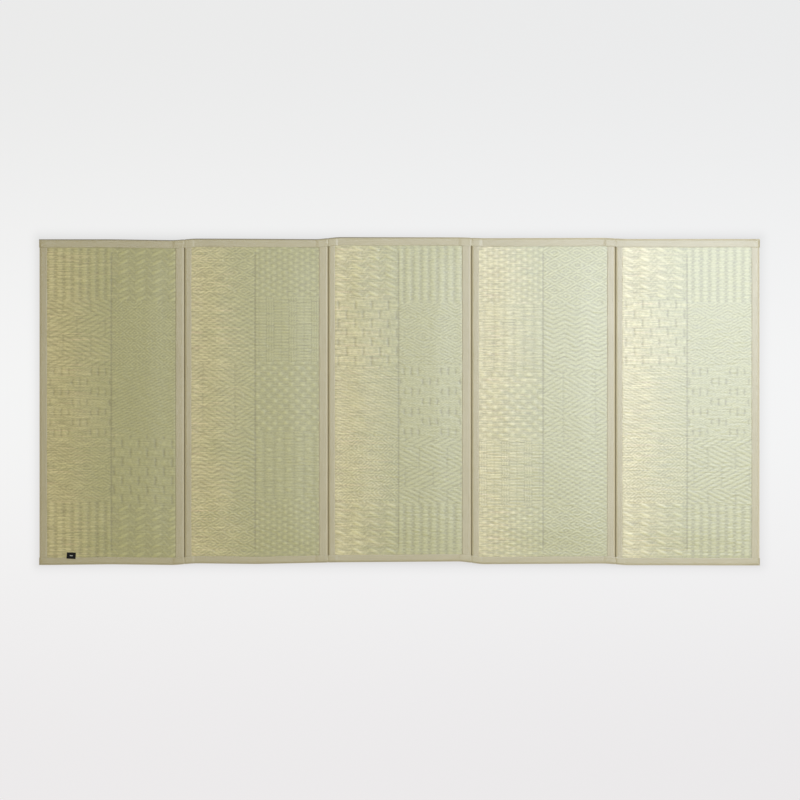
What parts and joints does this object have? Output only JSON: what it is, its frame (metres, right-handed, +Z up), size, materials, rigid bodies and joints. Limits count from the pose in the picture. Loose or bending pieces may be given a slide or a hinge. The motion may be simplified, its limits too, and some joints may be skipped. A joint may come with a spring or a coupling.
{
  "type": "folding rush mat",
  "caption": "Folding rush floor mat lying open and flat, with a patchwork woven face, cloth tape at its folds and ends, and bound long edges.",
  "frame": {"origin": "on the floor, under the middle of the mat's outline", "axes": "+X along the mat across its folds, from the panel with the label to the far end; +Y across it, away from the edge with the label; +Z up, out of the rush face"},
  "size_m": [2.1026, 0.958, 0.025],
  "materials": {
    "rush": "woven rush in a patchwork of traditional patterns, pale straw with green and tan streaks, satin",
    "tape": "plain woven beige cotton tape, matt",
    "backing": "plain non-woven backing cloth, matt",
    "label": "black woven label, matt"
  },
  "bodies": {
    "root": {"panel_1": "rush", "panel_2": "rush", "panel_3": "rush", "panel_4": "rush", "panel_5": "rush", "fold_tape_1": "tape", "fold_tape_2": "tape", "fold_tape_3": "tape", "fold_tape_4": "tape", "end_tape_left": "tape", "end_tape_right": "tape", "binding_far": "tape", "binding_near": "tape", "label": "label"}
  },
  "joints": []
}
